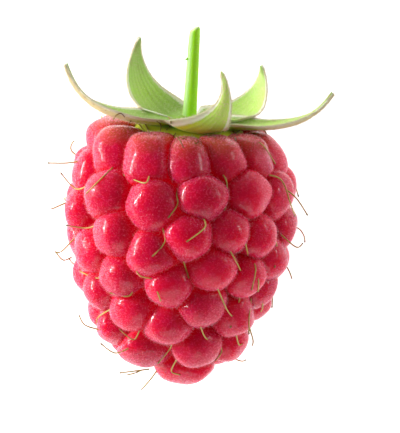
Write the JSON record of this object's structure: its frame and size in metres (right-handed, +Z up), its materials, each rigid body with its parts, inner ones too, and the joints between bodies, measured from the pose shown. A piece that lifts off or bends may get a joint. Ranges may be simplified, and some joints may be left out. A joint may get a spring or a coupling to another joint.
{
  "type": "raspberry",
  "caption": "Ripe red raspberry as picked, lying on its side: a tapered cluster of plump drupelets with its green calyx and short cut stem.",
  "frame": {"origin": "on the surface that the berry lies on, under the middle of its box", "axes": "+Z up from the surface, +Y along the berry from its tip towards the stem, +X to the right"},
  "size_m": [0.0242, 0.0322, 0.0204],
  "materials": {
    "drupelet_skin": "thin translucent crimson fruit skin, softly glossy, powdered with short pale fuzz",
    "sepal": "matt leaf green with whitish woolly edges and underside",
    "stem": "smooth pale green stalk with fine down and a slanted cut end",
    "style": "dry straw-coloured styles with brown ends",
    "fuzz": "very fine pale down"
  },
  "bodies": {
    "root": {"drupelets": "drupelet_skin", "calyx": "sepal", "pedicel": "stem"}
  },
  "joints": []
}
